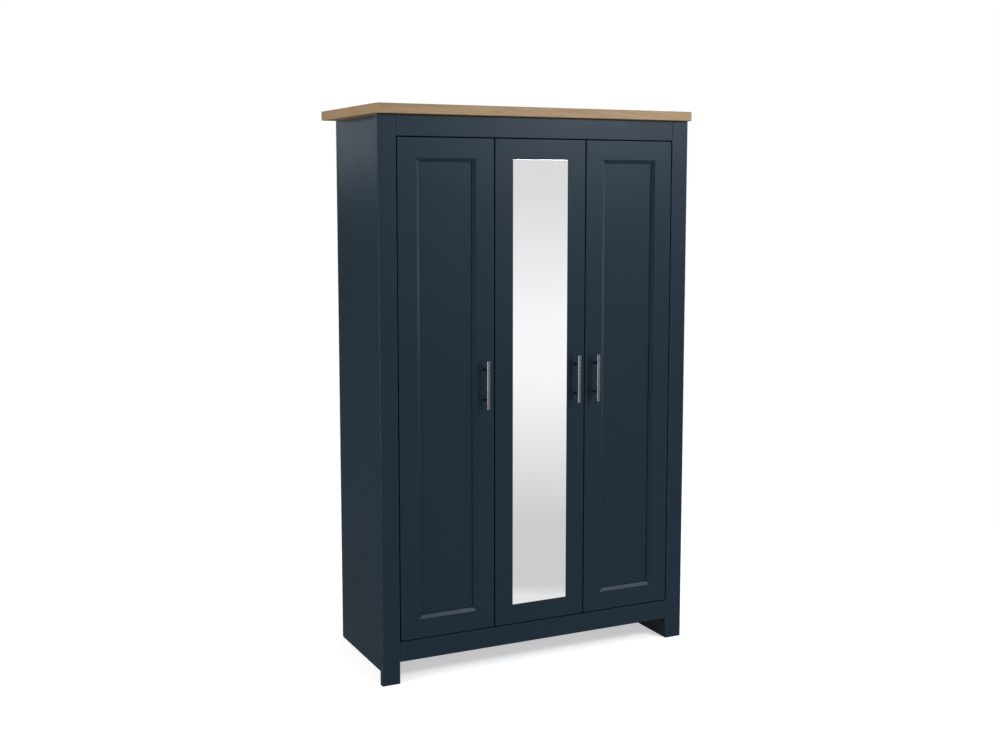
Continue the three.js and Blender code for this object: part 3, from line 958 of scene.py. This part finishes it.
def makeShelfPin():  # points along +Z from its collar
    deselectAll()
    bpy.ops.mesh.primitive_cylinder_add(
        vertices=20, radius=smallParts["collarRadius"], depth=smallParts["collarLength"],
        location=(0, 0, smallParts["collarLength"] / 2))
    pin = bpy.context.object
    pin.name = "shelf_pin_model"
    settle(pin)
    pickFaces(pin, lambda face: face.normal.z > 0.99)
    bpy.ops.mesh.inset(thickness=smallParts["collarRadius"] - smallParts["pinRadius"])
    reach = smallParts["pinReach"] - smallParts["collarLength"]
    bpy.ops.mesh.extrude_region_move(TRANSFORM_OT_translate={"value": (0, 0, reach)})
    leaveEdit()
    finishModifier(pin, "BEVEL", width=smallParts["pinEdge"], segments=2, limit_method="ANGLE",
                   angle_limit=math.radians(50))
    smoothPiece(pin, 35)
    return pin


def addShelfPins():
    pin = makeShelfPin()
    for shelf in ("shelf_left_1", "shelf_left_2", "shelf_left_3", "hat_shelf"):
        low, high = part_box(shelf)
        level = low.z - smallParts["pinRadius"] - hairGap
        frontY = low.y + smallParts["pinInset"]
        rearY = high.y - smallParts["pinInset"]
        for endX, direction, endWord in ((low.x, 1, "a"), (high.x, -1, "b")):
            wall = endX - direction * 2 * hairGap
            turn = (0, direction * math.pi / 2, 0)
            for y, place in ((frontY, "front"), (rearY, "rear")):
                copied = copyTo(pin, f"shelf_pin_{shelf}_{endWord}_{place}", (wall, y, level), turn)
                mount(copied, "carcass", zinc)
    bpy.data.objects.remove(pin)


def makeRoundPad(name, radius, height, dome):
    deselectAll()
    bpy.ops.mesh.primitive_cylinder_add(
        vertices=smallParts["padSides"], radius=radius, depth=height, location=(0, 0, height / 2))
    pad = bpy.context.object
    pad.name = name
    settle(pad)
    pickEdges(pad, lambda a, b: min(a.z, b.z) > height * 0.9)
    bpy.ops.mesh.bevel(offset=height * dome, segments=4, profile=0.5)
    leaveEdit()
    smoothPiece(pad, 35)
    return pad


def addCoverCaps():
    cap = makeRoundPad("cap_model", smallParts["capRadius"], smallParts["capHeight"], 0.5)
    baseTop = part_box("base_panel")[1].z
    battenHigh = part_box("door_stop_batten")[1]
    frontY = battenHigh.y + smallParts["capBehindFront"]
    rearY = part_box("back_panel_left")[0].y - smallParts["capBeforeBack"]
    lowZ = baseTop + smallParts["capFromBoard"]
    topZ = battenHigh.z - smallParts["capFromBoard"]
    walls = (
        ("side_left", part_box("side_panel_left")[1].x, 1),
        ("side_right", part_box("side_panel_right")[0].x, -1),
        ("partition_left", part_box("partition_panel")[0].x, -1),
        ("partition_right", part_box("partition_panel")[1].x, 1),
    )
    spots = (
        ("low_front", frontY, lowZ),
        ("low_rear", rearY, lowZ),
        ("top_front", frontY, topZ),
        ("top_rear", rearY, topZ),
    )
    for wall, x, direction in walls:
        turn = (0, direction * math.pi / 2, 0)
        for spot, y, z in spots:
            place = (x + direction * hairGap, y, z)
            copied = copyTo(cap, f"cover_cap_{wall}_{spot}", place, turn)
            mount(copied, "carcass", capPlastic)
    bpy.data.objects.remove(cap)


def addDoorBuffers():
    pad = makeRoundPad("buffer_model", smallParts["bufferRadius"], smallParts["bufferHeight"], 0.7)
    for side in doorSides:
        low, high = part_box(f"door_{side}_rail_top")
        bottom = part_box(f"door_{side}_rail_bottom")[0].z
        inset = smallParts["bufferFromSide"]
        rise = smallParts["bufferFromEnd"]
        freeX = high.x - inset if hingeEdge[side] == "left" else low.x + inset
        for word, z in (("top", high.z - rise), ("bottom", bottom + rise)):
            place = (freeX, high.y + hairGap, z)
            copied = copyTo(pad, f"door_buffer_{side}_{word}", place, facingBack)
            mount(copied, "door_" + side, bufferPlastic)
    bpy.data.objects.remove(pad)


addShelfPins()
addCoverCaps()
addDoorBuffers()
print("small fittings placed")


rear = {
    "stripWidth": 0.026,
    "stripThickness": 0.0016,
    "stripShorter": 0.002,
    "stripInset": 0.003,
    "stripCrown": 0.0005,
    "stripEdge": 0.0003,
    "nailRadius": 0.0022,
    "nailHeight": 0.0009,
    "nailInset": 0.009,
    "nailPitch": 0.16,
}


def addJointStrip():
    low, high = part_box("back_panel_left")
    jointX = (high.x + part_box("back_panel_right")[0].x) / 2
    stripY = high.y + rear["stripThickness"] / 2 + hairGap
    deselectAll()
    bpy.ops.mesh.primitive_cube_add(size=1, location=(jointX, stripY, (low.z + high.z) / 2))
    strip = bpy.context.object
    strip.name = "back_joint_strip"
    strip.scale = (rear["stripWidth"], rear["stripThickness"], high.z - low.z - rear["stripShorter"])
    settle(strip)
    pickFaces(strip, lambda face: face.normal.y > 0.9)
    bpy.ops.mesh.inset(thickness=rear["stripInset"])
    bpy.ops.transform.translate(value=(0, rear["stripCrown"], 0))
    leaveEdit()
    finishModifier(strip, "BEVEL", width=rear["stripEdge"], segments=2, limit_method="ANGLE",
                   angle_limit=math.radians(30))
    smoothPiece(strip)
    mount(strip, "carcass", stripPlastic)


def spread(low, high, pitch):
    count = max(2, round((high - low) / pitch) + 1)
    return [low + (high - low) * index / (count - 1) for index in range(count)]


def addBackNails():
    nail = makeRoundPad("nail_model", rear["nailRadius"], rear["nailHeight"], 0.6)
    inset = rear["nailInset"]
    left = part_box("back_panel_left")[0]
    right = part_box("back_panel_right")[1]
    edgeX = (left.x + inset, right.x - inset)
    edgeZ = (left.z + inset, right.z - inset)
    places = [(x, z) for z in edgeZ for x in spread(edgeX[0], edgeX[1], rear["nailPitch"])]
    places += [(x, z) for x in edgeX for z in spread(edgeZ[0], edgeZ[1], rear["nailPitch"])[1:-1]]
    for number, (x, z) in enumerate(places, start=1):
        copied = copyTo(nail, f"back_nail_{number}", (x, right.y + hairGap, z), facingBack)
        mount(copied, "carcass", zinc)
    bpy.data.objects.remove(nail)


addJointStrip()
addBackNails()
print("rear finished")


studio = {
    "floorSize": 30.0,
    "floorDrop": 0.0005,
    "floorRough": 0.85,
    "floorCloudScale": 1.5,
    "floorShades": ((0.74, 0.74, 0.74), (0.78, 0.78, 0.78)),
    "floorGlow": 0.50,  # lifts the floor to the white of the backdrop, for the camera alone
    "floorSolid": 1.15,  # the floor is whole to this distance and gone at the next
    "floorGone": 2.7,
    "fill": 0.72,
    "mirrored": 1.04,
    "mirroredBehind": 0.10,
    "mirroredLow": 0.26,  # behind and below, where a pale floor would be
    "lowStart": -0.16,
    "lowWhole": -0.26,
    "frontStart": 0.15,
    "frontWhole": -0.45,
    "skyLow": -0.5,
    "skyHigh": 0.5,
    "mirroredStops": (  # place between low and high in the sky, brightness
        (0.0, 0.84),
        (0.201, 0.84),
        (0.205, 0.65),
        (0.25, 0.65),
        (0.36, 1.0),
        (0.40, 1.0),
        (0.50, 0.76),
        (1.0, 0.60),
    ),
}
softboxes = {
    "key": {
        "place": (1.8, -3.0, 2.6),
        "aim": (0.1, 0.0, 1.5),
        "size": 1.0,
        "power": 98.0,
        "color": (0.88, 0.94, 1.0),
    },
    "side": {
        "place": (-1.55, 3.0, 1.92),
        "aim": (-0.5, 0.0, 1.6),
        "size": 0.55,
        "power": 2.7,
        "color": (0.82, 0.91, 1.0),
    },
    "right": {
        "place": (3.4, -0.7, 1.4),
        "aim": (0.2, -0.2, 1.0),
        "size": 1.8,
        "power": 30.0,
        "color": (1.0, 1.0, 1.0),
    },
    "left": {
        "place": (-3.4, -0.6, 1.1),
        "aim": (-0.5, 0.0, 1.0),
        "size": 1.8,
        "power": 78.0,
        "color": (1.0, 0.99, 0.97),
    },
}


def makeFloor():
    deselectAll()
    bpy.ops.mesh.primitive_plane_add(size=studio["floorSize"], location=(0, 0, -studio["floorDrop"]))
    floor = bpy.context.object
    floor.name = "floor"
    settle(floor)
    pickFaces(floor, lambda face: True)
    bpy.ops.mesh.subdivide(number_cuts=2)
    leaveEdit()
    floor.visible_glossy = False
    first, second = studio["floorShades"]
    material, tree, shader = startMaterial("studioFloor", second)
    place = putNode(tree, "ShaderNodeTexCoord", -1, 0)
    clouds = noiseNode(tree, place.outputs["Object"], 0, 0, studio["floorCloudScale"], 3.0, 0.5)
    tint = mixColor(tree, clouds, first, second, 1, 0)
    tree.links.new(tint, shader.inputs["Base Color"])
    shader.inputs["Roughness"].default_value = studio["floorRough"]
    ray = putNode(tree, "ShaderNodeLightPath", 0, 3)
    glow = mathNode(tree, "MULTIPLY", 1, 3, ray.outputs["Is Camera Ray"], studio["floorGlow"])
    shader.inputs["Emission Color"].default_value = (1.0, 1.0, 1.0, 1.0)
    tree.links.new(glow, shader.inputs["Emission Strength"])
    distance = putNode(tree, "ShaderNodeVectorMath", 1, 2, operation="LENGTH")
    tree.links.new(place.outputs["Object"], distance.inputs[0])
    solid, gone = studio["floorSolid"], studio["floorGone"]
    fade = spanNode(tree, distance.outputs["Value"], 2, 2, solid, gone, 1.0, 0.0)
    tree.links.new(fade, shader.inputs["Alpha"])
    paint(floor, material)


def makeSkyShade(tree):  # what gloss and mirror see: bright in front, dark behind
    sky = putNode(tree, "ShaderNodeTexCoord", -5, 3)
    parts = putNode(tree, "ShaderNodeSeparateXYZ", -4, 3)
    tree.links.new(sky.outputs["Generated"], parts.inputs[0])
    height = spanNode(tree, parts.outputs["Z"], -3, 3, studio["skyLow"], studio["skyHigh"])
    ramp = putNode(tree, "ShaderNodeValToRGB", -2, 3)
    stops = ramp.color_ramp.elements
    while len(stops) < len(studio["mirroredStops"]):
        stops.new(0.5)
    for stop, (position, level) in zip(stops, studio["mirroredStops"]):
        stop.position = position
        stop.color = (level, level, level, 1.0)
    tree.links.new(height, ramp.inputs[0])
    behind = spanNode(tree, parts.outputs["Z"], -4, 4, studio["lowStart"], studio["lowWhole"],
                      studio["mirroredBehind"], studio["mirroredLow"])
    front = spanNode(tree, parts.outputs["Y"], -3, 4, studio["frontStart"], studio["frontWhole"],
                     newHigh=studio["mirrored"])
    tree.links.new(behind, front.node.inputs["To Min"])
    shade = putNode(tree, "ShaderNodeBackground", 0, 3)
    tree.links.new(ramp.outputs[0], shade.inputs["Color"])
    tree.links.new(front, shade.inputs["Strength"])
    return shade


def makeWorld():
    world = bpy.data.worlds.new("studioWorld")
    bpy.context.scene.world = world
    world.use_nodes = True
    tree = world.node_tree
    tree.nodes.clear()
    seen = putNode(tree, "ShaderNodeBackground", 0, 0)
    fill = putNode(tree, "ShaderNodeBackground", 0, 1)
    for background, strength in ((seen, 1.0), (fill, studio["fill"])):
        background.inputs["Color"].default_value = (1.0, 1.0, 1.0, 1.0)
        background.inputs["Strength"].default_value = strength
    mirrored = makeSkyShade(tree)
    ray = putNode(tree, "ShaderNodeLightPath", 0, 2)
    chooseGlossy = putNode(tree, "ShaderNodeMixShader", 1, 1)
    choose = putNode(tree, "ShaderNodeMixShader", 2, 0)
    leave = putNode(tree, "ShaderNodeOutputWorld", 3, 0)
    tree.links.new(ray.outputs["Is Glossy Ray"], chooseGlossy.inputs[0])
    tree.links.new(fill.outputs[0], chooseGlossy.inputs[1])
    tree.links.new(mirrored.outputs[0], chooseGlossy.inputs[2])
    tree.links.new(ray.outputs["Is Camera Ray"], choose.inputs[0])
    tree.links.new(chooseGlossy.outputs[0], choose.inputs[1])
    tree.links.new(seen.outputs[0], choose.inputs[2])
    tree.links.new(choose.outputs[0], leave.inputs["Surface"])


def addSoftbox(word):
    plan = softboxes[word]
    place = Vector(plan["place"])
    bpy.ops.object.light_add(type="AREA", location=place)
    lamp = bpy.context.object
    lamp.name = word + "Light"
    lamp.data.shape = "SQUARE"
    lamp.data.size = plan["size"]
    lamp.data.energy = plan["power"]
    lamp.data.color = plan["color"]
    lamp.visible_camera = False
    toward = Vector(plan["aim"]) - place
    lamp.rotation_euler = toward.to_track_quat("-Z", "Y").to_euler()


cameraPlan = {
    "place": (-1.947, -3.961, 1.543),
    "turn": 25.8,  # degrees to the right of straight ahead
    "tilt": -6.4,
    "lens": 47.4,
    "shiftUp": -0.0385,
    "sensor": 36,
    "near": 0.05,
    "far": 100,
}


def makeCamera():
    bpy.ops.object.camera_add(location=cameraPlan["place"])
    camera = bpy.context.object
    tilt = math.radians(90 + cameraPlan["tilt"])
    camera.rotation_euler = (tilt, 0, -math.radians(cameraPlan["turn"]))
    camera.data.lens = cameraPlan["lens"]
    camera.data.sensor_width = cameraPlan["sensor"]
    camera.data.shift_y = cameraPlan["shiftUp"]
    camera.data.clip_start = cameraPlan["near"]
    camera.data.clip_end = cameraPlan["far"]
    bpy.context.scene.camera = camera


deselectAll()
makeFloor()
makeWorld()
for word in softboxes:
    addSoftbox(word)
makeCamera()
bpy.context.scene.view_settings.view_transform = "Standard"
print("studio ready")
